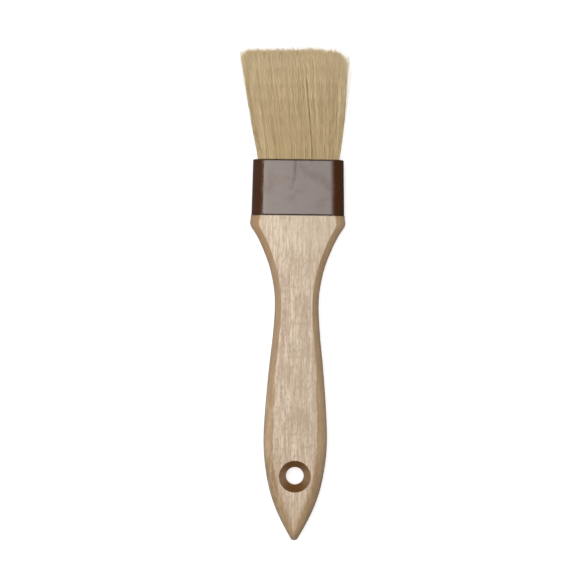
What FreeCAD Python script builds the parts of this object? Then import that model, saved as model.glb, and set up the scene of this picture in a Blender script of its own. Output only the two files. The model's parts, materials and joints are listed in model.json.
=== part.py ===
import FreeCAD, Part
import math
import os

# Flat pastry brush lying on its back, in millimetres.
# +Y runs along the brush to the bristle tips, +X across it, +Z up from its back face.
# The origin is on the handle's back face, on its long axis, half way along the brush.

# ---- overall ----
LENGTH = 216.0                  # pointed tip to longest bristles
HANDLE_LENGTH = 143.0           # the part of the handle outside the ferrule
FERRULE_HEIGHT = 24.5
THICKNESS = 14.0                # of the board the handle is shaped from
MID_Z = THICKNESS / 2
TIP_Y = -LENGTH / 2
SHOULDER_Y = TIP_Y + HANDLE_LENGTH
MOUTH_Y = SHOULDER_Y + FERRULE_HEIGHT
TOP_Y = LENGTH / 2

# ---- handle ----
# Stations along the handle: distance from the tip, half width,
# depth of the rounded edge seen from above, radius of its softened arris.
HANDLE_STATIONS = [
    (3.2, 2.98, 2.0, 1.6),
    (6.0, 4.55, 2.3, 2.7),
    (10.0, 6.6, 2.5, 3.8),
    (15.0, 8.8, 2.7, 4.4),
    (21.0, 10.85, 2.9, 4.3),
    (28.0, 12.45, 3.1, 3.8),
    (36.0, 13.6, 3.2, 3.2),
    (45.0, 14.0, 3.3, 2.3),
    (55.0, 13.6, 3.2, 1.8),
    (66.0, 12.8, 3.0, 1.4),
    (78.0, 11.72, 2.8, 0.9),
    (90.0, 10.45, 2.7, 0.8),
    (97.0, 9.9, 2.7, 0.7),
    (103.0, 9.65, 2.7, 0.7),
    (109.0, 9.93, 2.7, 0.7),
    (115.0, 10.9, 2.8, 0.7),
    (121.0, 12.42, 2.9, 0.7),
    (127.0, 14.7, 3.0, 0.7),
    (132.0, 16.95, 3.2, 0.7),
    (136.0, 19.3, 3.5, 0.8),
    (138.3, 20.72, 3.8, 0.9),
    (140.0, 21.02, 4.0, 1.0),
    (143.0, 20.8, 4.0, 1.0),
]
NOSE_STATIONS = [0.0, 0.4, 1.4]     # distances from the tip, inside the rounded nose
NOSE_START = 0.12               # how much of the nose's arcs the blunt tip leaves off
NOSE_RADIUS = 2.0               # seen from above
NOSE_SIDE_RADIUS = 8.3          # seen from the side
NOSE_EDGE_SHARE = 0.7           # depth of the rounded edge, as a share of the half width
NOSE_ARRIS_SHARE = 0.45
TAIL_LENGTH = 24.0              # the tail grows thinner over this distance
TAIL_THINNING = 0.12            # share of the thickness lost at the tip
PLANING = 0.01                  # shaved off both faces to leave them truly flat

# ---- hang hole ----
HOLE_FROM_TIP = 28.3
HOLE_RADIUS = 3.9
SINK_RADIUS = 7.0
SINK_DEPTH = 5.4                # from each face; a 60 degree cone

# ---- ferrule: a drafted sleeve of moulded plastic ----
FERRULE_BOTTOM = (20.45, 6.8, 6.2)      # half width, half thickness, corner radius
FERRULE_MOUTH = (19.95, 6.5, 6.0)
WALL = 1.6
RIM_ROUNDING = 0.45
BEAD_FROM_SHOULDER = 11.5       # centre of the bead inside, which keys the resin
BEAD_WIDTH = 1.6
BEAD_DEPTH = 0.5

# ---- what the ferrule hides ----
TENON_LENGTH = 9.0
GLUE_FILM = 0.3
RESIN_BOTTOM_Y = SHOULDER_Y + TENON_LENGTH + GLUE_FILM
RESIN_DEPTH = 6.0
RESIN_TOP_Y = RESIN_BOTTOM_Y + RESIN_DEPTH
RESIN_SKIN = 0.7                # resin between the wall and the outermost bristles
RESIN_UNDER_ROOTS = 1.0
ROOT_Y = RESIN_BOTTOM_Y + RESIN_UNDER_ROOTS
STRIP_HALF_WIDTH = 15.5
STRIP_HALF_THICKNESS = 1.6
STRIP_HEIGHT = 10.5

# ---- bristles ----
HEAD_LEFT_X = -25.4             # at the tips; the head leans and splays to the left
HEAD_RIGHT_X = 21.4
HEAD_TIP_HALF_THICKNESS = 6.4
HEAD_TIP_CORNER = 4.2
# How far the trimmed ends drop below the longest bristles, at shares of the width.
TRIM_DROPS = [(0.0, 1.4), (0.36, 0.9), (0.76, 0.0), (0.92, 1.0), (1.0, 4.0)]
LOCK_COUNT = 13                 # locks the bristles cling together in
LOCK_NOTCH = 1.1                # between the ends of two locks
LOCK_WOBBLE = 0.35              # uneven length of the locks, a sine of the lock's number
LOCK_WOBBLE_STEP = 2.4          # radians from one lock to the next
LOCK_WOBBLE_START = 3.0
GROOVE_WIDTH = 0.9              # between locks, at the tips
GROOVE_DEPTH = 0.6
GROOVE_FOOT_SHARE = 0.35        # a groove is this much smaller at the ferrule
PARTING_LOCK = 8                # on the front, the parting takes this groove's place
PARTING_FOOT_X = 6.3
PARTING_TIP_X = 2.8
PARTING_TIP_Y = TOP_Y - 10.5    # where it closes, short of the bristle ends
PARTING_WIDTH = 1.2
PARTING_DEPTH = 1.8

# ---- where the bristles bend ----
FLEX_Y = MOUTH_Y + 7.0
FLEX_RADIUS = 5.25              # rounded foot of the part that swings
FLEX_CLEARANCE = 0.35
FLEX_OPENING = 3.0              # the fixed stub stops this far under the bending line

FRONT = 1                       # the side that faces up, towards +Z
BACK = -1
CLEAR = 60.0                    # well outside the brush in X and Z
OVER = 1.0                      # how far a cutting shape runs past what it cuts
RIM_FLATNESS = 0.01             # an edge with less Y than this runs round a rim


def vec(x, y, z):
    return FreeCAD.Vector(x, y, z)


def slab(y0, y1, z0=-CLEAR, z1=CLEAR, half_width=CLEAR):
    """A plain block right across the brush, from y0 to y1 and z0 to z1."""
    return Part.makeBox(2 * half_width, y1 - y0, z1 - z0, vec(-half_width, y0, z0))


def closed_loop(y, corners, bulges):
    """Outline in the plane y, through corners in turn; a bulge makes its stretch an arc."""
    edges = []
    for i, (x0, z0) in enumerate(corners):
        x1, z1 = corners[(i + 1) % len(corners)]
        start, end = vec(x0, y, z0), vec(x1, y, z1)
        if bulges[i] is None:
            edges.append(Part.makeLine(start, end))
        else:
            xm, zm = bulges[i]
            edges.append(Part.Arc(start, vec(xm, y, zm), end).toShape())
    return Part.Wire(edges)


def rounded_rectangle(y, x0, x1, half_thickness, radius):
    """Section across the brush from x0 to x1, centred on its mid plane."""
    z0, z1 = MID_Z - half_thickness, MID_Z + half_thickness
    cut = radius * (1 - math.sqrt(0.5))
    corners = [
        (x0 + radius, z1), (x1 - radius, z1), (x1, z1 - radius), (x1, z0 + radius),
        (x1 - radius, z0), (x0 + radius, z0), (x0, z0 + radius), (x0, z1 - radius),
    ]
    bulges = [
        None, (x1 - cut, z1 - cut), None, (x1 - cut, z0 + cut),
        None, (x0 + cut, z0 + cut), None, (x0 + cut, z1 - cut),
    ]
    return closed_loop(y, corners, bulges)


def handle_section(y, half_width, half_thickness, depth, arris):
    """Flat faces, bulging edges of the given depth, and a softened arris where they meet."""
    edge_radius = (half_thickness ** 2 + depth ** 2) / (2 * depth)
    centre_x = half_width - edge_radius
    rise = half_thickness - arris
    arris_x = centre_x + math.sqrt((edge_radius - arris) ** 2 - rise ** 2)
    angle = math.atan2(rise, arris_x - centre_x)
    end_x = centre_x + edge_radius * math.cos(angle)
    end_z = edge_radius * math.sin(angle)
    middle = (math.pi / 2 + angle) / 2
    mid_x = arris_x + arris * math.cos(middle)
    mid_z = rise + arris * math.sin(middle)
    top, bottom = MID_Z + half_thickness, MID_Z - half_thickness
    corners = [
        (-arris_x, top), (arris_x, top), (end_x, MID_Z + end_z), (end_x, MID_Z - end_z),
        (arris_x, bottom), (-arris_x, bottom), (-end_x, MID_Z - end_z), (-end_x, MID_Z + end_z),
    ]
    bulges = [
        None, (mid_x, MID_Z + mid_z), (half_width, MID_Z), (mid_x, MID_Z - mid_z),
        None, (-mid_x, MID_Z - mid_z), (-half_width, MID_Z), (-mid_x, MID_Z + mid_z),
    ]
    return closed_loop(y, corners, bulges)


def half_thickness_at(distance):
    """Half the handle's thickness at a distance from its tip."""
    missing = max(0.0, 1 - distance / TAIL_LENGTH)
    return MID_Z * (1 - TAIL_THINNING * missing ** 2)


def handle_body():
    """The handle up to its shoulder: a smooth shape through all its stations, planed flat."""
    sections = []
    for distance in NOSE_STATIONS:
        run = distance + NOSE_START
        half_width = math.sqrt(2 * NOSE_RADIUS * run - run ** 2)
        half_thickness = math.sqrt(2 * NOSE_SIDE_RADIUS * run - run ** 2)
        depth = NOSE_EDGE_SHARE * half_width
        arris = NOSE_ARRIS_SHARE * half_width
        sections.append(
            handle_section(TIP_Y + distance, half_width, half_thickness, depth, arris))
    for distance, half_width, depth, arris in HANDLE_STATIONS:
        half_thickness = half_thickness_at(distance) + PLANING
        sections.append(
            handle_section(TIP_Y + distance, half_width, half_thickness, depth, arris))
    shaped = Part.makeLoft(sections, True, False)
    return shaped.common(slab(TIP_Y - OVER, SHOULDER_Y + OVER, 0.0, THICKNESS))


def tenon():
    """The tongue that goes up into the ferrule, a glue film smaller than the sleeve."""
    return cavity(SHOULDER_Y - OVER, SHOULDER_Y + TENON_LENGTH, GLUE_FILM)


def hang_hole():
    """Through hole with a countersink from each face."""
    y = TIP_Y + HOLE_FROM_TIP
    wide = SINK_RADIUS + OVER * (SINK_RADIUS - HOLE_RADIUS) / SINK_DEPTH
    cutter = Part.makeCylinder(HOLE_RADIUS, THICKNESS + 2 * OVER, vec(0, y, -OVER))
    for face_z, inward in ((0.0, 1), (THICKNESS, -1)):
        start = vec(0, y, face_z - inward * OVER)
        cone = Part.makeCone(wide, HOLE_RADIUS, SINK_DEPTH + OVER, start, vec(0, 0, inward))
        cutter = cutter.fuse(cone)
    return cutter


def handle():
    return handle_body().fuse(tenon()).cut(hang_hole()).removeSplitter()


def ferrule_size(y, inset):
    """Half width, half thickness and corner radius of the drafted sleeve at y."""
    t = (y - SHOULDER_Y) / FERRULE_HEIGHT
    return [a + (b - a) * t - inset for a, b in zip(FERRULE_BOTTOM, FERRULE_MOUTH)]


def sleeve(y0, y1, inset):
    """Solid that fills the ferrule's outside shape, inset all round, from y0 to y1."""
    wires = []
    for y in (y0, y1):
        half_width, half_thickness, radius = ferrule_size(y, inset)
        wires.append(rounded_rectangle(y, -half_width, half_width, half_thickness, radius))
    return Part.makeLoft(wires, True, True)


def cavity(y0, y1, inset=0.0):
    """Solid that fills the inside of the ferrule, from y0 to y1."""
    return sleeve(y0, y1, WALL + inset)


def bead():
    y0 = SHOULDER_Y + BEAD_FROM_SHOULDER - BEAD_WIDTH / 2
    y1 = y0 + BEAD_WIDTH
    return cavity(y0, y1).cut(cavity(y0 - OVER, y1 + OVER, BEAD_DEPTH))


def ferrule():
    outside = sleeve(SHOULDER_Y, MOUTH_Y, 0.0)
    rims = [e for e in outside.Edges if e.BoundBox.YLength < RIM_FLATNESS]
    outside = outside.makeFillet(RIM_ROUNDING, rims)
    return outside.cut(cavity(SHOULDER_Y - OVER, MOUTH_Y + OVER)).fuse(bead())


def tenon_glue():
    """Film round the tenon and over its end."""
    return cavity(SHOULDER_Y, RESIN_BOTTOM_Y).cut(tenon())


def filler_strip():
    """Strip between the two banks, which spreads them to fill the ferrule."""
    low = MID_Z - STRIP_HALF_THICKNESS
    high = MID_Z + STRIP_HALF_THICKNESS
    return slab(ROOT_Y, ROOT_Y + STRIP_HEIGHT, low, high, STRIP_HALF_WIDTH)


def root_mass():
    """Space the bristles and the strip take up inside the ferrule."""
    set_in_resin = cavity(ROOT_Y, RESIN_TOP_Y, RESIN_SKIN)
    return set_in_resin.fuse(cavity(RESIN_TOP_Y, MOUTH_Y))


def resin_setting():
    """Cup of resin that the ends of the bristles and of the strip stand in."""
    block = cavity(RESIN_BOTTOM_Y, RESIN_TOP_Y)
    return block.cut(root_mass()).cut(bead())


def mouth_size():
    return ferrule_size(MOUTH_Y, WALL)


def head_half_thickness(y):
    foot = mouth_size()[1]
    share = (y - MOUTH_Y) / (TOP_Y - MOUTH_Y)
    return foot + (HEAD_TIP_HALF_THICKNESS - foot) * share


def head_x(share, y):
    """X at a share of the head's width, from its left side (0) to its right (1)."""
    half_width = mouth_size()[0]
    rise = (y - MOUTH_Y) / (TOP_Y - MOUTH_Y)
    left = -half_width + (HEAD_LEFT_X + half_width) * rise
    right = half_width + (HEAD_RIGHT_X - half_width) * rise
    return left + (right - left) * share


def trim_y(share):
    """Height of the trimmed ends at a share of the head's width."""
    for (s0, drop0), (s1, drop1) in zip(TRIM_DROPS, TRIM_DROPS[1:]):
        if share <= s1:
            return TOP_Y - drop0 - (drop1 - drop0) * (share - s0) / (s1 - s0)
    return TOP_Y - TRIM_DROPS[-1][1]


def head_envelope():
    """Outer shape of the bristles above the ferrule, before trimming."""
    half_width, half_thickness, radius = mouth_size()
    foot = rounded_rectangle(MOUTH_Y, -half_width, half_width, half_thickness, radius)
    tip = rounded_rectangle(
        TOP_Y, HEAD_LEFT_X, HEAD_RIGHT_X, HEAD_TIP_HALF_THICKNESS, HEAD_TIP_CORNER)
    return Part.makeLoft([foot, tip], True, True)


def under_the_trim():
    """Everything below the uneven line that the ends of the locks make."""
    points = [vec(-CLEAR, SHOULDER_Y, 0)]
    points.append(vec(-CLEAR, trim_y(0) - LOCK_NOTCH, 0))
    for i in range(LOCK_COUNT):
        share = (i + 0.5) / LOCK_COUNT
        wobble = LOCK_WOBBLE * abs(math.sin(LOCK_WOBBLE_STEP * i + LOCK_WOBBLE_START))
        peak = trim_y(share) - wobble
        points.append(vec(head_x(share, peak), peak, 0))
        share = (i + 1) / LOCK_COUNT
        valley = trim_y(share) - LOCK_NOTCH
        points.append(vec(head_x(share, valley), valley, 0))
    points.append(vec(CLEAR, points[-1].y, 0))
    points.append(vec(CLEAR, SHOULDER_Y, 0))
    face = Part.Face(Part.makePolygon(points + points[:1]))
    return face.extrude(vec(0, 0, THICKNESS))


def furrow(side, foot, tip, width, depth):
    """V-shaped furrow down one face of the head, between two points (x, y)."""
    outlines = []
    for (x, y), size in ((foot, GROOVE_FOOT_SHARE), (tip, 1.0)):
        face_z = head_half_thickness(y)
        half_mouth = width * size / 2 * (1 + OVER / (depth * size))
        outer = MID_Z + side * (face_z + OVER)
        inner = MID_Z + side * (face_z - depth * size)
        points = [vec(x - half_mouth, y, outer), vec(x + half_mouth, y, outer), vec(x, y, inner)]
        outlines.append(Part.makePolygon(points + points[:1]))
    return Part.makeLoft(outlines, True, True)


def furrows(side):
    """The grooves between locks, and on the front the deeper parting."""
    low, high = MOUTH_Y - OVER / 2, TOP_Y + OVER / 2
    cutters = []
    for i in range(1, LOCK_COUNT):
        share = i / LOCK_COUNT
        foot, tip = (head_x(share, low), low), (head_x(share, high), high)
        if side == BACK or i != PARTING_LOCK:
            cutters.append(furrow(side, foot, tip, GROOVE_WIDTH, GROOVE_DEPTH))
    if side == FRONT:
        foot, tip = (PARTING_FOOT_X, low), (PARTING_TIP_X, PARTING_TIP_Y)
        cutters.append(furrow(side, foot, tip, PARTING_WIDTH, PARTING_DEPTH))
    return cutters


def one_side(side):
    """Half space in front of the mid plane, or behind it."""
    if side == FRONT:
        return slab(TIP_Y, TOP_Y + OVER, MID_Z, CLEAR)
    return slab(TIP_Y, TOP_Y + OVER, -CLEAR, MID_Z)


def flex_cylinder(radius):
    """Cylinder along the bending line, right across the brush."""
    return Part.makeCylinder(radius, 2 * CLEAR, vec(-CLEAR, FLEX_Y, MID_Z), vec(1, 0, 0))


def free_head(side):
    """One bank of bristles above the bending line, with a round foot to swing on."""
    region = slab(FLEX_Y, TOP_Y + OVER).fuse(flex_cylinder(FLEX_RADIUS))
    bank = head_envelope().common(under_the_trim()).common(region)
    return bank.common(one_side(side)).cut(furrows(side)).removeSplitter()


def fixed_roots(side):
    """The same bank from its setting to just under the bending line."""
    stub = head_envelope().common(slab(MOUTH_Y - OVER, FLEX_Y - FLEX_OPENING))
    stub = stub.cut(flex_cylinder(FLEX_RADIUS + FLEX_CLEARANCE)).cut(furrows(side))
    bank = root_mass().fuse(stub).common(one_side(side))
    return bank.cut(filler_strip()).removeSplitter()


PARTS = {
    "handle": handle(),
    "ferrule": ferrule(),
    "tenon_glue": tenon_glue(),
    "resin_setting": resin_setting(),
    "filler_strip": filler_strip(),
    "front_bristle_roots": fixed_roots(FRONT),
    "back_bristle_roots": fixed_roots(BACK),
    "front_bristles": free_head(FRONT),
    "back_bristles": free_head(BACK),
}

os.makedirs("parts", exist_ok=True)
for name, shape in PARTS.items():
    shape.exportStep("parts/" + name + ".step")
    box = shape.BoundBox
    print(name, len(shape.Solids), "solid", shape.isValid(), round(shape.Volume, 1), box)
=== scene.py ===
import json
import math

import bmesh
import bpy
import numpy as np
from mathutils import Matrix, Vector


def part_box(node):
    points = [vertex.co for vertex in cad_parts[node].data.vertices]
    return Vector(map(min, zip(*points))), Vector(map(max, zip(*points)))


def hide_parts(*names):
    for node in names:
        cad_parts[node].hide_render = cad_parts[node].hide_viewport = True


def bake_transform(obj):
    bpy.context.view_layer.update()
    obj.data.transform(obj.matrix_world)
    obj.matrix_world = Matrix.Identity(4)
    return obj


# A flat pastry brush on a white table, seen from straight above.
# Lengths are in metres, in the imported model's frame: +Y to the bristle tips, +Z up.

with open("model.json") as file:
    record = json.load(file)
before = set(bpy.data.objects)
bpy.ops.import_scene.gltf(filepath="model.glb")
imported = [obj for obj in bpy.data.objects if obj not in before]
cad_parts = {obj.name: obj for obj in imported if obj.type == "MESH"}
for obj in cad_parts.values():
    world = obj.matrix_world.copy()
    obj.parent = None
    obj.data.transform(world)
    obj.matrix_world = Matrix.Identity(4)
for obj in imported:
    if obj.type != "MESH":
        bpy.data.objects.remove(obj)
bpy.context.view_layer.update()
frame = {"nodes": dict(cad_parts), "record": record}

MM = 0.001

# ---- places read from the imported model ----
FERRULE_LOW, FERRULE_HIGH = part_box("ferrule")
SHOULDER_Y = FERRULE_LOW.y
MOUTH_Y = FERRULE_HIGH.y
TOP_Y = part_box("front_bristles")[1].y
TIP_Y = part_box("handle")[0].y
MID_Z = (FERRULE_LOW.z + FERRULE_HIGH.z) / 2
HOLE = next(m for m in frame["record"]["mounts"] if m["name"] == "hang_hole")["pos_m"]

# ---- camera ----
CAMERA_DISTANCE = 1.3           # above the brush's mid plane
VIEW_WIDTH = 0.2539             # what the frame takes in at that plane
VIEW_CENTRE = (-0.00395, 0.00299)
VIEW_TURN = math.radians(0.66)

# ---- light ----
SOFTBOX_RADIANCE = 6.0
SOFTBOX_HEIGHT = 1.6
SOFTBOX_LEFT = -0.667
SOFTBOX_FADE = -0.067           # it is even from the left side to here
SOFTBOX_RIGHT = 1.067
SOFTBOX_DEPTH = 1.2
SOFTBOX_Y = 0.133
SOFTBOX_FALLOFF = 1.5           # power of the fade's straight line
WORLD_LEFT = 0.24               # strength of the surroundings on either side
WORLD_RIGHT = 0.08

# ---- ground ----
FLOOR_HALF = 1.5
FLOOR_DROP = 0.05 * MM          # keeps it just clear of the brush's back
FLOOR_GREY = 0.62
FLOOR_GLOW = 0.62               # lightens the shadows, as in a light tent
BACKDROP_RADIUS = 2.5
BACKDROP_GLOW = 0.9

# ---- tones of the handle ----
BARE_WOOD = ((0.765, 0.602, 0.408), (0.684, 0.522, 0.341))
# painted shade: the wood darker to the right
PAINTED_RIGHT_SHADE = (0.344, 0.221, 0.107)
# painted shade down the rounded sides of the belly
PAINTED_CROWN_SHADE = (0.36, 0.21, 0.095)
# painted shade on the tilted side bands, with warm lacquer gathered there
EDGE_SHADE_AND_LACQUER = (0.535, 0.345, 0.18)
# painted light on the tilted edges down the belly
PAINTED_BELLY_LIGHT = (0.88, 0.63, 0.36)
CORNER_WOOD = (0.41, 0.215, 0.085)
TAIL_WOOD = (0.43, 0.285, 0.135)
SEAM_SHADE = (0.05, 0.025, 0.01)
SINK_WOOD = ((0.39, 0.245, 0.132), (0.225, 0.1, 0.027))     # side grain, end grain
SINK_TONE_FULL = 6.85 * MM      # the countersink's brown fades out between these
SINK_TONE_END = 7.05 * MM       # distances from the hole's axis

# ---- ferrule ----
PLASTIC = ((0.068, 0.0225, 0.0055), (0.058, 0.019, 0.0045))
# pale scuffs, with painted light on the flat faces
SCUFF_AND_PAINTED_LIGHT = (0.25, 0.165, 0.11)
PLASTIC_SPECKS = (0.02, 0.012, 0.008)
FLOW_LINE_TONE = (0.02, 0.008, 0.002)
# painted shade on the ferrule's rims
PAINTED_RIM_SHADE = (0.03, 0.011, 0.004)
FLOW_LINE_X = -1.4 * MM         # where it stands furthest right
FLOW_LINE_BELOW_MOUTH = 3.5 * MM
FLOW_LINE_BOW = -18.0           # it bends left by this times the squared distance in metres
FLOW_LINE_WIDTH = 1.3 * MM

# ---- pieces that the handle and the ferrule hide ----
HIDDEN_PIECES = (               # node, material, its two tones, roughness, grain
    ("tenon_glue", "glue", (0.7, 0.6, 0.38), (0.6, 0.5, 0.3), 0.5, (400.0, 400.0, 400.0)),
    ("resin_setting", "resin", (0.45, 0.28, 0.11), (0.36, 0.21, 0.08), 0.25,
     (300.0, 300.0, 300.0)),
    ("filler_strip", "strip_wood", (0.6, 0.44, 0.28), (0.5, 0.35, 0.2), 0.6,
     (900.0, 60.0, 900.0)),
)

# ---- bristles ----
# Lengths of hairs are shares of the head's free length.
SEED = 20
HAIR_COUNT = 22000
HAIR_RINGS = 8
HAIR_SIDES = 3
ROOT_RADIUS = 0.075 * MM
TIP_RADIUS = 0.035 * MM
ROOT_DEPTH = 4.0 * MM           # how far the modelled hairs start inside the ferrule
MOUTH_HALF_WIDTH = 18.1 * MM
MOUTH_HALF_THICKNESS = 4.8 * MM
MOUTH_CORNER = 3.3 * MM
TIP_HALF_THICKNESS = 6.4 * MM
HEAD_LEAN = 0.14                # to the left at the tips, as a share of the half width
LOWEST_HAIR_Z = 0.25 * MM
CLUMP_COUNT = 320
CLUMP_PULL = 0.022              # how far hairs gather toward their clump's middle
CLUMP_UNEVEN = 0.006            # spread of the clumps' lengths
HAIR_UNEVEN = 0.016             # spread of the hairs' lengths
HAIR_SHORT = -0.017             # hairs are this much shorter than the trim, on average
STRAY_SHARE = 0.35              # of the hairs, which stand out of the outline
STRAY_EXTRA = 0.014             # how far strays stand past the trim
STRAY_REACH = 2.5 * MM          # how far out of the head's sides hairs lean at the tips
HAIR_REACH = 1.1 * MM
MOST_REACH = 4.0 * MM
WAVE_SIZE = 0.12 * MM
PARTING_FOOT_X = 6.35 * MM
PARTING_TOP_X = 2.8 * MM
PARTING_TOP = 0.86              # share of the hairs' length where it closes
PARTING_GAP = 0.23 * MM
PARTING_REACH = 0.6 * MM
PARTING_SHADE = 0.35 * MM       # half width of the darker hairs beside it
OUTWARD_SHADING = 0.3           # how far hairs take the normal of the head's own surface

# ---- bristle tones: 0 is the palest and 4 the darkest ----
MIDDLE_TONE = 2.4
CLUMP_TONE_SPREAD = 0.14
HAIR_TONE_SPREAD = 0.5
EDGE_PALER = 1.1                # light shines through the head's thin edges
PARTING_DARKER = 0.8
HAIR_TONES = (
    ("pale", (0.87, 0.71, 0.44)),
    ("cream", (0.745, 0.59, 0.345)),
    ("straw", (0.60, 0.46, 0.25)),
    ("honey", (0.51, 0.375, 0.19)),
    ("dark", (0.39, 0.27, 0.125)),
)

# ---- how the hairs are built ----
PIECES_PER_BANK = 3


def add_object(name, data):
    """Puts an object with this mesh, light or camera into the scene."""
    piece = bpy.data.objects.new(name, data)
    bpy.context.scene.collection.objects.link(piece)
    return piece


def new_material(name):
    """A material, its node tree and its Principled shader."""
    material = bpy.data.materials.new(name)
    material.use_nodes = True
    tree = material.node_tree
    shader = tree.nodes["Principled BSDF"]
    return material, tree, shader


def add_node(tree, kind, inputs=None, **settings):
    """Adds a node; inputs maps a socket's name or number to a value or another socket."""
    node = tree.nodes.new(kind)
    for key, value in settings.items():
        setattr(node, key, value)
    for key, value in (inputs or {}).items():
        if isinstance(value, bpy.types.NodeSocket):
            tree.links.new(value, node.inputs[key])
        else:
            node.inputs[key].default_value = value
    return node


def noise(tree, coords, scale, detail=2.0, roughness=0.5, distortion=0.0):
    """Noise stretched by a scale for each axis, in cycles per metre; gives its value socket."""
    mapping = add_node(tree, "ShaderNodeMapping", {"Vector": coords, "Scale": scale})
    node = add_node(tree, "ShaderNodeTexNoise", {
        "Vector": mapping.outputs["Vector"], "Scale": 1.0, "Detail": detail,
        "Roughness": roughness, "Distortion": distortion})
    return node.outputs["Fac"]


def ramp(tree, value, low, high, to_low=0.0, to_high=1.0):
    """Remaps a value smoothly from low..high to to_low..to_high."""
    node = add_node(tree, "ShaderNodeMapRange", {
        "Value": value, "From Min": low, "From Max": high,
        "To Min": to_low, "To Max": to_high}, interpolation_type="SMOOTHSTEP")
    return node.outputs["Result"]


def mix_colour(tree, factor, first, second):
    """Mixes two colours, from the first at factor 0 to the second at factor 1."""
    node = add_node(tree, "ShaderNodeMix", data_type="RGBA")
    sockets = (node.inputs[0], node.inputs[6], node.inputs[7])
    for socket, value in zip(sockets, (factor, first, second)):
        if isinstance(value, bpy.types.NodeSocket):
            tree.links.new(value, socket)
        elif isinstance(value, float):
            socket.default_value = value
        else:
            socket.default_value = (*value, 1.0)
    return node.outputs[2]


def maths(tree, operation, first, second=0.0):
    """One step of arithmetic on numbers or sockets."""
    return add_node(
        tree, "ShaderNodeMath", {0: first, 1: second}, operation=operation).outputs[0]


def object_coords(tree):
    return add_node(tree, "ShaderNodeTexCoord").outputs["Object"]


def upward(tree):
    """How far the surface faces straight up or down in its own frame, from 0 to 1."""
    normal = add_node(tree, "ShaderNodeTexCoord").outputs["Normal"]
    z = add_node(tree, "ShaderNodeSeparateXYZ", {"Vector": normal}).outputs["Z"]
    return maths(tree, "ABSOLUTE", z)


def from_tip(distance):
    """Y at a distance in millimetres from the handle's tip."""
    return TIP_Y + distance * MM


def axes(tree, coords):
    """The X and Y of a point: its place across the brush, and along it."""
    place = add_node(tree, "ShaderNodeSeparateXYZ", {"Vector": coords})
    return place.outputs["X"], place.outputs["Y"]


def bare_wood(tree, coords, along):
    """Colour of pale close-grained hardwood, with the fibres and specks that roughen it."""
    bands = noise(tree, coords, (260.0, 9.0, 200.0), 2.0, 0.5, 0.4)
    mottle = noise(tree, coords, (330.0, 110.0, 330.0), 2.0, 0.55)
    fibres = noise(tree, coords, (720.0, 30.0, 720.0), 2.0, 0.6, 0.15)
    strands = noise(tree, coords, (1150.0, 100.0, 1150.0), 1.0, 0.5)
    specks = noise(tree, coords, (1150.0, 430.0, 1150.0), 1.0, 0.6)
    cross = noise(tree, coords, (90.0, 420.0, 90.0), 1.0, 0.5, 0.6)
    flecks = noise(tree, coords, (900.0, 260.0, 900.0), 1.0, 0.4)
    grain = ramp(tree, along, from_tip(113.0), from_tip(138.0), 1.1, 0.6)
    colour = mix_colour(tree, ramp(tree, bands, 0.35, 0.65), *BARE_WOOD)
    layers = (      # pattern, where it starts, where it is full, how strong, tone, follows the grain
        (mottle, 0.3, 0.7, 0.25, (0.369, 0.238, 0.115), False),
        (fibres, 0.36, 0.64, 0.52, (0.41, 0.24, 0.105), True),
        (strands, 0.4, 0.64, 0.68, (0.34, 0.19, 0.078), True),
        (specks, 0.45, 0.68, 0.55, (0.28, 0.16, 0.07), True),
        (cross, 0.62, 0.75, 0.14, (0.205, 0.115, 0.049), False),
        (flecks, 0.68, 0.76, 0.45, (0.164, 0.094, 0.045), False),
    )
    for pattern, start, full, strength, tone, follows_grain in layers:
        factor = ramp(tree, pattern, start, full, 0.0, strength)
        if follows_grain:
            factor = maths(tree, "MULTIPLY", grain, factor)
        colour = mix_colour(tree, factor, colour, tone)
    return colour, fibres, specks


def painted_wood_shade(tree, colour, side, along, belly):
    """Painted shade: darker to the right, and down the rounded sides of the belly."""
    # painted shade, darker to the right, where the softbox fades
    darker = ramp(tree, side, -16.0 * MM, 16.0 * MM, 0.0, 0.42)
    colour = mix_colour(tree, darker, colour, PAINTED_RIGHT_SHADE)
    # painted shade down the sides of the belly, for a rounding that the flat face lacks
    face_half = ramp(tree, along, from_tip(2.0), from_tip(36.0), 0.5 * MM, 10.5 * MM)
    share = maths(tree, "DIVIDE", maths(tree, "ABSOLUTE", side), face_half)
    rounded = maths(tree, "MULTIPLY", belly, ramp(tree, share, 0.45, 1.1, 0.0, 0.38))
    rounded = maths(tree, "MULTIPLY", rounded, ramp(tree, side, -9.0 * MM, 9.0 * MM, 0.5, 1.0))
    return mix_colour(tree, rounded, colour, PAINTED_CROWN_SHADE)


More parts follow.
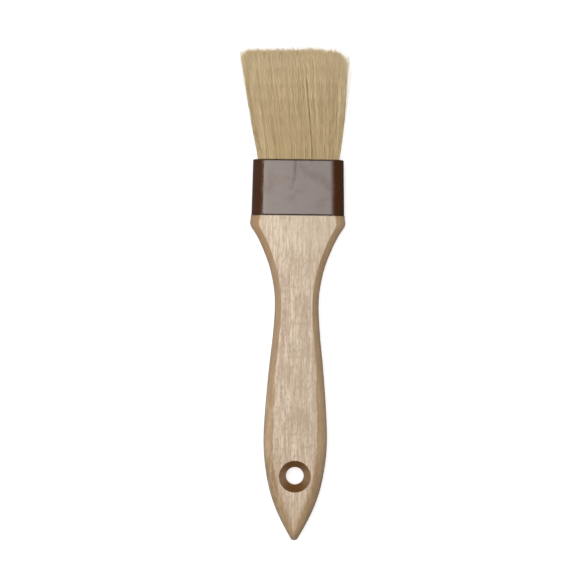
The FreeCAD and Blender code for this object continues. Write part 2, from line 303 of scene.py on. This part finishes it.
def edge_light_and_shade(tree, colour, side, along, belly):
    """Painted shade on the tilted side bands, warm with lacquer gathered there; painted light on the
    tilted edges down the belly; a darker shoulder and tail; painted shade in the joint by the
    ferrule.
    """
    facing = upward(tree)
    # painted shade on the side bands, which tilt away from the light, with warm lacquer gathered
    # there
    edge = ramp(tree, facing, 0.85, 0.99, 0.6, 0.0)
    edge = maths(tree, "MULTIPLY", edge, ramp(tree, belly, 0.0, 1.0, 1.0, 0.12))
    colour = mix_colour(tree, edge, colour, EDGE_SHADE_AND_LACQUER)
    # painted light on the tilted edges down the belly
    belly_light = maths(tree, "MULTIPLY", belly, ramp(tree, facing, 0.88, 0.995, 0.24, 0.0))
    belly_light = maths(tree, "MULTIPLY", belly_light, ramp(tree, along, from_tip(24.0), from_tip(46.0)))
    colour = mix_colour(tree, belly_light, colour, PAINTED_BELLY_LIGHT)
    corner = ramp(tree, along, SHOULDER_Y - 45.0 * MM, SHOULDER_Y - 8.0 * MM)
    corner = maths(tree, "MULTIPLY", corner, ramp(tree, side, 4.0 * MM, -14.0 * MM, 0.15, 0.55))
    corner = maths(tree, "MULTIPLY", corner, ramp(tree, facing, 0.85, 0.99, 1.0, 0.0))
    colour = mix_colour(tree, corner, colour, CORNER_WOOD)
    tail = ramp(tree, along, from_tip(26.0), from_tip(2.0), 0.0, 0.5)
    colour = mix_colour(tree, tail, colour, TAIL_WOOD)
    seam = ramp(tree, along, SHOULDER_Y - 0.38 * MM, SHOULDER_Y - 0.16 * MM, 0.0, 0.85)
    return mix_colour(tree, seam, colour, SEAM_SHADE)


def around_hole(tree, coords):
    """Distance from the hang hole's axis, and how far that way runs along the brush, 0 to 1."""
    from_hole = add_node(tree, "ShaderNodeVectorMath", {
        0: coords, 1: (HOLE[0], HOLE[1], 0.0)}, operation="SUBTRACT").outputs[0]
    flat = add_node(tree, "ShaderNodeVectorMath", {
        0: from_hole, 1: (1.0, 1.0, 0.0)}, operation="MULTIPLY").outputs[0]
    radius = add_node(tree, "ShaderNodeVectorMath", {0: flat}, operation="LENGTH").outputs["Value"]
    turn = add_node(tree, "ShaderNodeVectorMath", {0: flat}, operation="NORMALIZE").outputs[0]
    along = add_node(tree, "ShaderNodeSeparateXYZ", {"Vector": turn}).outputs["Y"]
    return radius, maths(tree, "ABSOLUTE", along)


def wood_material():
    """Pale hardwood under thin lacquer, sanded soft in the belly, brown in the countersinks."""
    material, tree, shader = new_material("handle_wood")
    coords = object_coords(tree)
    side, along = axes(tree, coords)
    belly = ramp(tree, along, from_tip(78.0), from_tip(48.0))
    colour, fibres, specks = bare_wood(tree, coords, along)
    colour = painted_wood_shade(tree, colour, side, along, belly)
    colour = edge_light_and_shade(tree, colour, side, along, belly)
    radius, end_on = around_hole(tree, coords)
    ring = mix_colour(tree, ramp(tree, end_on, 0.2, 1.0), *SINK_WOOD)
    sink = ramp(tree, radius, SINK_TONE_FULL, SINK_TONE_END, 1.0, 0.0)
    colour = mix_colour(tree, sink, colour, ring)
    tree.links.new(colour, shader.inputs["Base Color"])

    rough = ramp(tree, fibres, 0.3, 0.8, 0.36, 0.5)
    tree.links.new(rough, shader.inputs["Roughness"])
    height = maths(
        tree, "ADD", maths(tree, "MULTIPLY", fibres, 0.6), maths(tree, "MULTIPLY", specks, 0.4))
    sanding = ramp(tree, along, from_tip(83.0), from_tip(53.0), 0.2 * MM, 4.0 * MM)
    sanding = maths(tree, "MULTIPLY", sanding, ramp(tree, radius, 7.2 * MM, 10.5 * MM))
    sanded = add_node(tree, "ShaderNodeBevel", {"Radius": sanding}, samples=8)
    bump = add_node(tree, "ShaderNodeBump", {
        "Strength": 0.6, "Distance": 0.12 * MM, "Height": height, "Normal": sanded.outputs[0]})
    tree.links.new(bump.outputs["Normal"], shader.inputs["Normal"])
    tree.links.new(bump.outputs["Normal"], shader.inputs["Coat Normal"])
    shader.inputs["Coat Weight"].default_value = 0.6
    shader.inputs["Coat Roughness"].default_value = 0.36
    return material


def flow_line_mask(tree, side, along):
    """The bowed line, high on both faces, where the plastic's flows met in the mould."""
    from_bulge = maths(tree, "SUBTRACT", along, MOUTH_Y - FLOW_LINE_BELOW_MOUTH)
    squared = maths(tree, "POWER", maths(tree, "ABSOLUTE", from_bulge), 2.0)
    line_x = maths(tree, "ADD", maths(tree, "MULTIPLY", squared, FLOW_LINE_BOW), FLOW_LINE_X)
    offset = maths(tree, "ABSOLUTE", maths(tree, "SUBTRACT", side, line_x))
    near = ramp(tree, offset, 0.0, FLOW_LINE_WIDTH, 1.0, 0.0)
    high = ramp(tree, along, MOUTH_Y - 15.0 * MM, MOUTH_Y - 9.0 * MM)
    return maths(tree, "MULTIPLY", near, high)


def rim_shade_mask(tree, along):
    """The dull rims round the ferrule's two ends, with painted shade on them."""
    top_rim = ramp(tree, along, MOUTH_Y - 0.75 * MM, MOUTH_Y - 0.45 * MM)
    low_rim = ramp(tree, along, SHOULDER_Y + 0.65 * MM, SHOULDER_Y + 0.4 * MM)
    return maths(tree, "MAXIMUM", top_rim, low_rim)


def scuffs_and_painted_light(tree, side, film, specks):
    """How far the flat faces are scuffed pale, with painted light on them that is strongest on the
    left.
    """
    flat = ramp(tree, upward(tree), 0.9, 1.0)
    scuffed_and_lit = maths(tree, "MULTIPLY", flat, ramp(tree, film, 0.3, 0.72, 0.15, 0.29))
    scuffed_and_lit = maths(tree, "MULTIPLY", scuffed_and_lit, ramp(tree, specks, 0.3, 0.7, 0.8, 1.25))
    # painted light: strongest on the left, where the softbox is even, fading to the right
    return maths(tree, "MULTIPLY", scuffed_and_lit, ramp(tree, side, -20.0 * MM, 20.0 * MM, 1.35, 0.45))


def ferrule_material():
    """Glossy moulded brown plastic with a faint orange peel, dull patches and a flow line."""
    material, tree, shader = new_material("ferrule_plastic")
    coords = object_coords(tree)
    side, along = axes(tree, coords)
    mottle = noise(tree, coords, (90.0, 60.0, 90.0), 2.0)
    film = noise(tree, coords, (120.0, 170.0, 120.0), 4.0, 0.65, 0.6)
    specks = noise(tree, coords, (1100.0, 900.0, 1100.0), 2.0, 0.6)
    flow_line = flow_line_mask(tree, side, along)
    rim = rim_shade_mask(tree, along)
    layers = (      # how much, tone
        (scuffs_and_painted_light(tree, side, film, specks), SCUFF_AND_PAINTED_LIGHT),
        (ramp(tree, specks, 0.62, 0.72, 0.0, 0.25), PLASTIC_SPECKS),
        (maths(tree, "MULTIPLY", flow_line, 0.22), FLOW_LINE_TONE),
        # painted shade on the rims
        (maths(tree, "MULTIPLY", rim, 0.7), PAINTED_RIM_SHADE),
    )
    colour = mix_colour(tree, ramp(tree, mottle, 0.3, 0.7), *PLASTIC)
    for factor, tone in layers:
        colour = mix_colour(tree, factor, colour, tone)
    tree.links.new(colour, shader.inputs["Base Color"])

    rough = ramp(tree, film, 0.3, 0.75, 0.09, 0.34)
    rough = maths(tree, "ADD", rough, maths(tree, "MULTIPLY", flow_line, 0.14))
    rough = maths(tree, "ADD", rough, maths(tree, "MULTIPLY", rim, 0.5))
    tree.links.new(rough, shader.inputs["Roughness"])
    peel = noise(tree, coords, (220.0, 130.0, 220.0), 1.0)
    fine = noise(tree, coords, (900.0, 700.0, 900.0), 1.0)
    height = maths(tree, "ADD", maths(tree, "MULTIPLY", fine, 0.12), peel)
    sunk = maths(tree, "SUBTRACT", height, maths(tree, "MULTIPLY", flow_line, 0.45))
    bump = add_node(tree, "ShaderNodeBump", {
        "Strength": 0.2, "Distance": 0.08 * MM, "Height": sunk})
    tree.links.new(bump.outputs["Normal"], shader.inputs["Normal"])
    return material


def plain_material(name, low, high, roughness, grain):
    """A hidden piece's material: two close tones in a grain, with a little bump."""
    material, tree, shader = new_material(name)
    coords = object_coords(tree)
    value = noise(tree, coords, grain, 3.0)
    tree.links.new(
        mix_colour(tree, ramp(tree, value, 0.3, 0.7), low, high), shader.inputs["Base Color"])
    bump = add_node(tree, "ShaderNodeBump", {
        "Strength": 0.3, "Distance": 0.1 * MM, "Height": value})
    tree.links.new(bump.outputs["Normal"], shader.inputs["Normal"])
    shader.inputs["Roughness"].default_value = roughness
    return material


def hair_material(name, colour):
    """One tone of natural bristle, slightly glossy."""
    material, _, shader = new_material(name)
    shader.inputs["Base Color"].default_value = (*colour, 1.0)
    shader.inputs["Roughness"].default_value = 0.45
    shader.inputs["Specular IOR Level"].default_value = 0.35
    return material


def set_material(node_name, material):
    """Gives a CAD node one material in place of its own."""
    piece = frame["nodes"][node_name]
    piece.data.materials.clear()
    piece.data.materials.append(material)
    return piece


# ---- bristles ----
def left_edge(t):
    """X of the head's left outline, at a share of the way from the ferrule to the tips."""
    return (-17.1 - 6.8 * t + 1.2 * t * t) * MM


def right_edge(t):
    """X of the head's right outline, which swells just above the ferrule."""
    return (17.3 + 1.1 * (1 - np.exp(-t / 0.14))) * MM


def flow(u, v, t):
    """X and Z along a hair from its place in the mouth; u and v run from -1 to 1."""
    lean = HEAD_LEAN * np.clip(t, 0, None) ** 1.2 * (1 - u * u)
    across = u - lean
    middle = (left_edge(t) + right_edge(t)) / 2
    half = (right_edge(t) - left_edge(t)) / 2
    half_thickness = MOUTH_HALF_THICKNESS + (TIP_HALF_THICKNESS - MOUTH_HALF_THICKNESS) * t
    return middle + half * across, MID_Z + half_thickness * v


def random_mouth_places(rng, count):
    """Places (u, v) over the mouth's rounded rectangle, closer together at front and back."""
    corner_u = MOUTH_CORNER / MOUTH_HALF_WIDTH
    corner_v = MOUTH_CORNER / MOUTH_HALF_THICKNESS
    places = rng.uniform(-1, 1, (count * 2, 2))
    over_u = np.clip((np.abs(places[:, 0]) - (1 - corner_u)) / corner_u, 0, None)
    over_v = np.clip((np.abs(places[:, 1]) - (1 - corner_v)) / corner_v, 0, None)
    inside = over_u ** 2 + over_v ** 2 <= 1
    places = places[inside][:count]
    places[:, 1] = np.sign(places[:, 1]) * np.abs(places[:, 1]) ** 0.7
    return places


def trimmed_length(u):
    """Share of the full length that the trimmed ends reach, across the head."""
    knots = [-1.0, -0.94, -0.28, 0.52, 0.8, 0.92, 1.0]
    reach = [0.969, 0.969, 0.967, 0.982, 0.972, 0.953, 0.92]
    return np.interp(u, knots, reach)


def parted(x, v, rise):
    """Opens the thin parting on the front of the head; also gives the shade beside it."""
    line = PARTING_FOOT_X + (PARTING_TOP_X - PARTING_FOOT_X) * rise / PARTING_TOP
    offset = x - line
    below_top = np.clip((PARTING_TOP - rise) / 0.12, 0, 1)
    in_front = np.clip((v[:, None] - 0.5) / 0.3, 0, 1)
    fade = below_top * in_front
    opened = x + np.sign(offset) * PARTING_GAP * np.exp(-np.abs(offset) / PARTING_REACH) * fade
    return opened, np.exp(-(offset / PARTING_SHADE) ** 2) * fade


def nearest_clumps(rng, places):
    """Each hair's nearest clump, that clump's middle, and how strongly the hair gathers to it."""
    centres = random_mouth_places(rng, CLUMP_COUNT)
    mouth = np.array([MOUTH_HALF_WIDTH, MOUTH_HALF_THICKNESS])
    gap = (places[:, None, :] - centres[None, :, :]) * mouth
    clump = np.argmin((gap ** 2).sum(axis=2), axis=1)
    pull = CLUMP_PULL * rng.uniform(0.3, 1.0, len(places))
    return clump, centres[clump], pull


def hair_lengths(rng, u, clump):
    """Where each hair ends, as a share of the free length, and which hairs are strays."""
    count = len(u)
    clump_length = rng.normal(0, CLUMP_UNEVEN, CLUMP_COUNT)
    stray = rng.uniform(0, 1, count) < STRAY_SHARE
    uneven = rng.laplace(HAIR_SHORT, HAIR_UNEVEN, count).clip(-0.14, 0.028)
    length = trimmed_length(u) + clump_length[clump] + uneven
    length += stray * rng.exponential(STRAY_EXTRA, count).clip(0, 0.04)
    return length, stray


def splayed(rng, x, z, rise):
    """Spreads each hair its own way, most hairs a little and some hairs more."""
    count = len(x)
    splay = rng.laplace(0, 0.7, (count, 2)) * rng.choice([0.5, 1.6], (count, 1), p=[0.7, 0.3])
    splay = splay.clip(-3.5, 3.5)
    x = x + splay[:, :1] * 0.9 * MM * rise ** 1.5
    z = z + splay[:, 1:] * 0.6 * MM * rise ** 2
    return x, z


def leaned_out(rng, x, u, stray, rise):
    """Leans hairs near the head's two sides outward, strays the furthest."""
    count = len(u)
    reach = rng.exponential(1.0, count) * np.where(stray, STRAY_REACH, HAIR_REACH)
    at_side = np.sign(u) * np.clip((np.abs(u) - 0.75) / 0.25, 0, 1)
    outward = at_side * reach.clip(0, MOST_REACH)
    return x + outward[:, None] * rise ** rng.uniform(0.4, 1.7, count)[:, None]


def waved(rng, x, rise):
    """Gives each hair a faint wave of its own."""
    count = len(x)
    phase = rng.uniform(0.0, 2 * math.pi, count)[:, None]
    size = rng.normal(0, WAVE_SIZE, count)[:, None]
    return x + size * np.sin(7.0 * rise + phase) * np.clip(4 * rise, 0, 1)


def hair_paths(rng, places):
    """Centre lines, one row of ring centres for each hair; also its clump and parting shade."""
    u, v = places[:, 0], places[:, 1]
    clump, centres, pull = nearest_clumps(rng, places)
    length, stray = hair_lengths(rng, u, clump)
    start = -ROOT_DEPTH / (TOP_Y - MOUTH_Y)
    step = np.linspace(0, 1, HAIR_RINGS) ** 0.9
    t = start + (length[:, None] - start) * step[None, :]
    rise = np.clip(t, 0, None)
    together = pull[:, None] * np.sin(np.clip(rise, 0, 1) * math.pi * 0.62)
    gathered_u = u[:, None] + (centres[:, 0] - u)[:, None] * together
    gathered_v = v[:, None] + (centres[:, 1] - v)[:, None] * together
    x, z = flow(gathered_u, gathered_v, rise)
    x, z = splayed(rng, x, z, rise)
    x = leaned_out(rng, x, u, stray, rise)
    x = waved(rng, x, rise)
    x, shade = parted(x, v, rise)
    y = MOUTH_Y + t * (TOP_Y - MOUTH_Y)
    z = np.maximum(z, LOWEST_HAIR_Z)
    return np.stack([x, y, z], axis=2), clump, shade


def hair_tones(rng, places, clump, shade):
    """Tone of each stretch of each hair: paler to the tips and at the head's thin edges."""
    count = len(places)
    clump_tone = rng.normal(0, CLUMP_TONE_SPREAD, CLUMP_COUNT)
    tone = MIDDLE_TONE + clump_tone[clump] + rng.normal(0, HAIR_TONE_SPREAD, count)
    to_tip = np.linspace(0, 1, HAIR_RINGS - 1)[None, :] ** 2
    paler = rng.uniform(1.0, 3.0, count)[:, None] * to_tip
    tone -= EDGE_PALER * np.clip((np.abs(places[:, 0]) - 0.8) / 0.2, 0, 1)
    tone = tone[:, None] - paler + PARTING_DARKER * shade[:, 1:]
    return np.clip(np.round(tone), 0, len(HAIR_TONES) - 1).astype(int)


def hair_normals(paths, ring):
    """Normals part way between each strand's own and those of the head's outer surface."""
    outward = np.zeros((len(paths), 3))
    middle = paths.mean(axis=1)
    outward[:, 0] = (middle[:, 0] / MOUTH_HALF_WIDTH) ** 5
    outward[:, 2] = np.sign(middle[:, 2] - MID_Z)
    outward /= np.linalg.norm(outward, axis=1)[:, None]
    normals = (1 - OUTWARD_SHADING) * ring[None, :, :] + OUTWARD_SHADING * outward[:, None, :]
    normals /= np.linalg.norm(normals, axis=2)[:, :, None]
    normals = np.broadcast_to(normals[:, None], (len(paths), HAIR_RINGS, HAIR_SIDES, 3))
    return normals.reshape(-1, 3)


def strand_faces(count):
    """The quads round every strand, then the two caps of each."""
    per_hair = HAIR_RINGS * HAIR_SIDES
    quads = []
    for ring in range(HAIR_RINGS - 1):
        for side in range(HAIR_SIDES):
            here = ring * HAIR_SIDES + side
            beside = ring * HAIR_SIDES + (side + 1) % HAIR_SIDES
            quads.append((here, here + HAIR_SIDES, beside + HAIR_SIDES, beside))
    caps = [list(range(HAIR_SIDES)), list(range(per_hair - 1, per_hair - 1 - HAIR_SIDES, -1))]
    first = np.arange(count)[:, None, None] * per_hair
    around = (np.array(quads)[None] + first).reshape(-1, 4)
    ends = (np.array(caps)[None] + first).reshape(-1, HAIR_SIDES)
    return around.tolist() + ends.tolist()


def hair_mesh(name, paths, tones, materials):
    """One mesh of closed, tapering strands; tones gives each stretch's material."""
    taper = np.linspace(0, 1, HAIR_RINGS) ** 3
    radius = ROOT_RADIUS + (TIP_RADIUS - ROOT_RADIUS) * taper
    angles = np.arange(HAIR_SIDES) * 2 * math.pi / HAIR_SIDES
    ring = np.stack([np.cos(angles), np.zeros(HAIR_SIDES), np.sin(angles)], axis=1)
    verts = paths[:, :, None, :] + radius[None, :, None, None] * ring[None, None, :, :]
    mesh = bpy.data.meshes.new(name)
    mesh.from_pydata(verts.reshape(-1, 3).tolist(), [], strand_faces(len(paths)))
    slots = np.concatenate([np.repeat(tones, HAIR_SIDES), tones[:, [0, -1]].ravel()])
    mesh.polygons.foreach_set("material_index", slots.astype(np.int32))
    mesh.polygons.foreach_set("use_smooth", np.ones(len(mesh.polygons), bool))
    for material in materials:
        mesh.materials.append(material)
    mesh.update()
    mesh.normals_split_custom_set_from_vertices(hair_normals(paths, ring).tolist())
    return add_object(name, mesh)


def build_bristles():
    """Both banks of separate hairs, each in a few pieces, in place of the CAD bristles."""
    rng = np.random.default_rng(SEED)
    materials = [hair_material("bristle_" + label, colour) for label, colour in HAIR_TONES]
    places = random_mouth_places(rng, HAIR_COUNT)
    paths, clump, shade = hair_paths(rng, places)
    tones = hair_tones(rng, places, clump, shade)
    front = places[:, 1] > 0
    banks = (("front", front, ("front_bristles", "front_bristle_roots")),
             ("back", ~front, ("back_bristles", "back_bristle_roots")))
    for label, chosen, nodes in banks:
        index = np.nonzero(chosen)[0]
        for part, some in enumerate(np.array_split(index, PIECES_PER_BANK)):
            name = f"{label}_bristle_hair_{part + 1}"
            piece = hair_mesh(name, paths[some], tones[some], materials)
            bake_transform(piece)
            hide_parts(*nodes)


def dress_cad_nodes():
    """Materials for the pieces that keep their CAD shape."""
    set_material("handle", wood_material())
    set_material("ferrule", ferrule_material())
    for node, name, low, high, roughness, grain in HIDDEN_PIECES:
        material = plain_material(name, low, high, roughness, grain)
        set_material(node, material)


def build_floor():
    """The white table, which glows a little."""
    corners = [(-1, -1), (1, -1), (1, 1), (-1, 1)]
    mesh = bpy.data.meshes.new("table_top")
    mesh.from_pydata([(x * FLOOR_HALF, y * FLOOR_HALF, 0) for x, y in corners], [], [(0, 1, 2, 3)])
    floor = add_object("table_top", mesh)
    floor.location.z = -FLOOR_DROP
    floor.visible_glossy = False
    material, _, shader = new_material("white_table")
    shader.inputs["Base Color"].default_value = (FLOOR_GREY, FLOOR_GREY, FLOOR_GREY, 1.0)
    shader.inputs["Roughness"].default_value = 0.8
    shader.inputs["Emission Color"].default_value = (1.0, 1.0, 1.0, 1.0)
    shader.inputs["Emission Strength"].default_value = FLOOR_GLOW
    mesh.materials.append(material)


def build_backdrop():
    """A pale dome behind everything. It shows in low views, and lights nothing."""
    mesh = bpy.data.meshes.new("backdrop")
    dome = bmesh.new()
    bmesh.ops.create_uvsphere(dome, u_segments=48, v_segments=24, radius=BACKDROP_RADIUS)
    dome.to_mesh(mesh)
    dome.free()
    backdrop = add_object("backdrop", mesh)
    material, _, shader = new_material("pale_backdrop")
    shader.inputs["Base Color"].default_value = (0.0, 0.0, 0.0, 1.0)
    shader.inputs["Specular IOR Level"].default_value = 0.0
    shader.inputs["Emission Color"].default_value = (1.0, 1.0, 1.0, 1.0)
    shader.inputs["Emission Strength"].default_value = BACKDROP_GLOW
    mesh.materials.append(material)
    backdrop.visible_diffuse = False
    backdrop.visible_glossy = False
    backdrop.visible_transmission = False
    backdrop.visible_shadow = False


def build_softbox():
    """The overhead softbox: even on the left, fading away slowly to the right."""
    light = bpy.data.lights.new("softbox", "AREA")
    light.shape = "RECTANGLE"
    light.size = SOFTBOX_RIGHT - SOFTBOX_LEFT
    light.size_y = SOFTBOX_DEPTH
    light.energy = SOFTBOX_RADIANCE * math.pi * light.size * light.size_y
    light.use_nodes = True
    tree = light.node_tree
    place = add_node(tree, "ShaderNodeNewGeometry").outputs["Parametric"]
    across = add_node(tree, "ShaderNodeSeparateXYZ", {"Vector": place}).outputs["X"]
    fade_start = (SOFTBOX_FADE - SOFTBOX_LEFT) / light.size
    fade = add_node(tree, "ShaderNodeMapRange", {
        "Value": across, "From Min": fade_start, "From Max": 1.0, "To Min": 1.0, "To Max": 0.0})
    strength = maths(tree, "POWER", fade.outputs["Result"], SOFTBOX_FALLOFF)
    tree.links.new(strength, tree.nodes["Emission"].inputs["Strength"])
    lamp = add_object("softbox", light)
    lamp.location = ((SOFTBOX_LEFT + SOFTBOX_RIGHT) / 2, SOFTBOX_Y, SOFTBOX_HEIGHT)


def build_world():
    """Dim surroundings, a little brighter on the left."""
    world = bpy.data.worlds.new("studio")
    world.use_nodes = True
    tree = world.node_tree
    background = tree.nodes["Background"]
    direction = add_node(tree, "ShaderNodeTexCoord").outputs["Generated"]
    side = add_node(tree, "ShaderNodeSeparateXYZ", {"Vector": direction}).outputs["X"]
    background.inputs["Color"].default_value = (1.0, 1.0, 1.0, 1.0)
    strength = ramp(tree, side, -0.9, 0.4, WORLD_LEFT, WORLD_RIGHT)
    tree.links.new(strength, background.inputs["Strength"])
    bpy.context.scene.world = world


def build_camera():
    """Straight above the brush, turned a little about the line of sight."""
    data = bpy.data.cameras.new("camera")
    data.sensor_width = 36.0
    data.lens = data.sensor_width * CAMERA_DISTANCE / VIEW_WIDTH
    camera = add_object("camera", data)
    camera.location = (*VIEW_CENTRE, MID_Z + CAMERA_DISTANCE)
    camera.rotation_euler = (0.0, 0.0, VIEW_TURN)
    bpy.context.scene.camera = camera


build_camera()
build_softbox()
build_world()
build_floor()
build_backdrop()
dress_cad_nodes()
build_bristles()
bpy.context.scene.view_settings.view_transform = "Standard"
